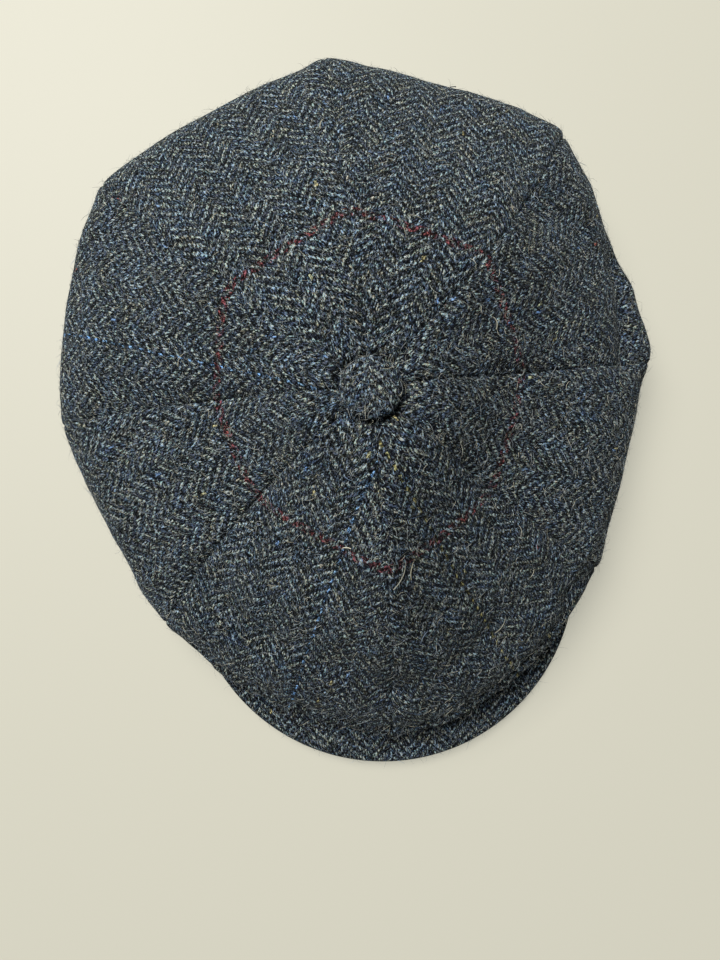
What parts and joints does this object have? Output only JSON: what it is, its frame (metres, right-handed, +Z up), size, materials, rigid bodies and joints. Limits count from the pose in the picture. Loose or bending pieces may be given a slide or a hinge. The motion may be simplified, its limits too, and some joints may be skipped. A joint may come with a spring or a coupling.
{
  "type": "baker boy cap",
  "caption": "Soft panelled baker boy cap in blue-grey herringbone tweed, with a covered button on top, an oval head band and a short arched peak at the front.",
  "frame": {"origin": "on the surface that the cap rests on, under the middle of its bounding box", "axes": "+Z up through the button, -Y forwards over the peak, +X to the side"},
  "size_m": [0.2686, 0.3254, 0.0972],
  "materials": {
    "crown_tweed": "woollen herringbone tweed, navy and slate with a red overcheck",
    "band_tweed": "woollen herringbone tweed",
    "peak_tweed": "woollen herringbone tweed over a stiff board",
    "button_tweed": "woollen tweed drawn over a button"
  },
  "bodies": {
    "root": {"crown_panel_1": "crown_tweed", "crown_panel_2": "crown_tweed", "crown_panel_3": "crown_tweed", "crown_panel_4": "crown_tweed", "crown_panel_5": "crown_tweed", "crown_panel_6": "crown_tweed", "crown_panel_7": "crown_tweed", "crown_panel_8": "crown_tweed", "head_band": "band_tweed", "peak": "peak_tweed", "button": "button_tweed"}
  },
  "joints": []
}
